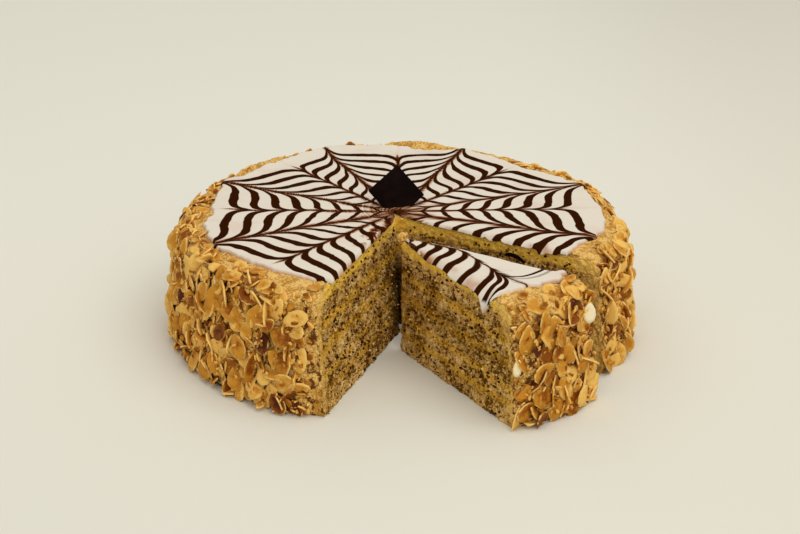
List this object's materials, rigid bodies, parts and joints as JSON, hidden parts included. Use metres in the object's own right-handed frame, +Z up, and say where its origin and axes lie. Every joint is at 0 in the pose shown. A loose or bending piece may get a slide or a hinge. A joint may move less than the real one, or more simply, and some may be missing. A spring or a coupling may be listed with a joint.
{
  "type": "esterhazy torte",
  "caption": "Round layered almond torte with feathered white icing, flaked almonds round the side, a chocolate plaque and a cut-out with one slice drawn forward.",
  "frame": {"origin": "the point of the cake's flat underside that lies under the middle of the round cake, in the plane that the torte rests on", "axes": "+Z up, out of the iced top; -Y towards the side where the cut opens, which is the picture's near side; +X to the right of someone facing the cut"},
  "size_m": [0.2632, 0.2554, 0.0864],
  "materials": {
    "sponge": "rough crumb with dark and pale specks",
    "filling": "soft nut cream, faintly moist",
    "coat": "speckled cream with toasted flaked almonds",
    "icing": "satin white icing feathered with chocolate",
    "chocolate": "smooth dark chocolate"
  },
  "bodies": {
    "root": {"cake_sponge_1": "sponge", "cake_filling_1": "filling", "cake_sponge_2": "sponge", "cake_filling_2": "filling", "cake_sponge_3": "sponge", "cake_filling_3": "filling", "cake_sponge_4": "sponge", "cake_filling_4": "filling", "cake_sponge_5": "sponge", "cake_coat": "coat", "cake_icing": "icing", "slice_sponge_1": "sponge", "slice_filling_1": "filling", "slice_sponge_2": "sponge", "slice_filling_2": "filling", "slice_sponge_3": "sponge", "slice_filling_3": "filling", "slice_sponge_4": "sponge", "slice_filling_4": "filling", "slice_sponge_5": "sponge", "slice_coat": "coat", "slice_icing": "icing", "plaque": "chocolate", "chocolate_sliver": "chocolate"}
  },
  "joints": []
}
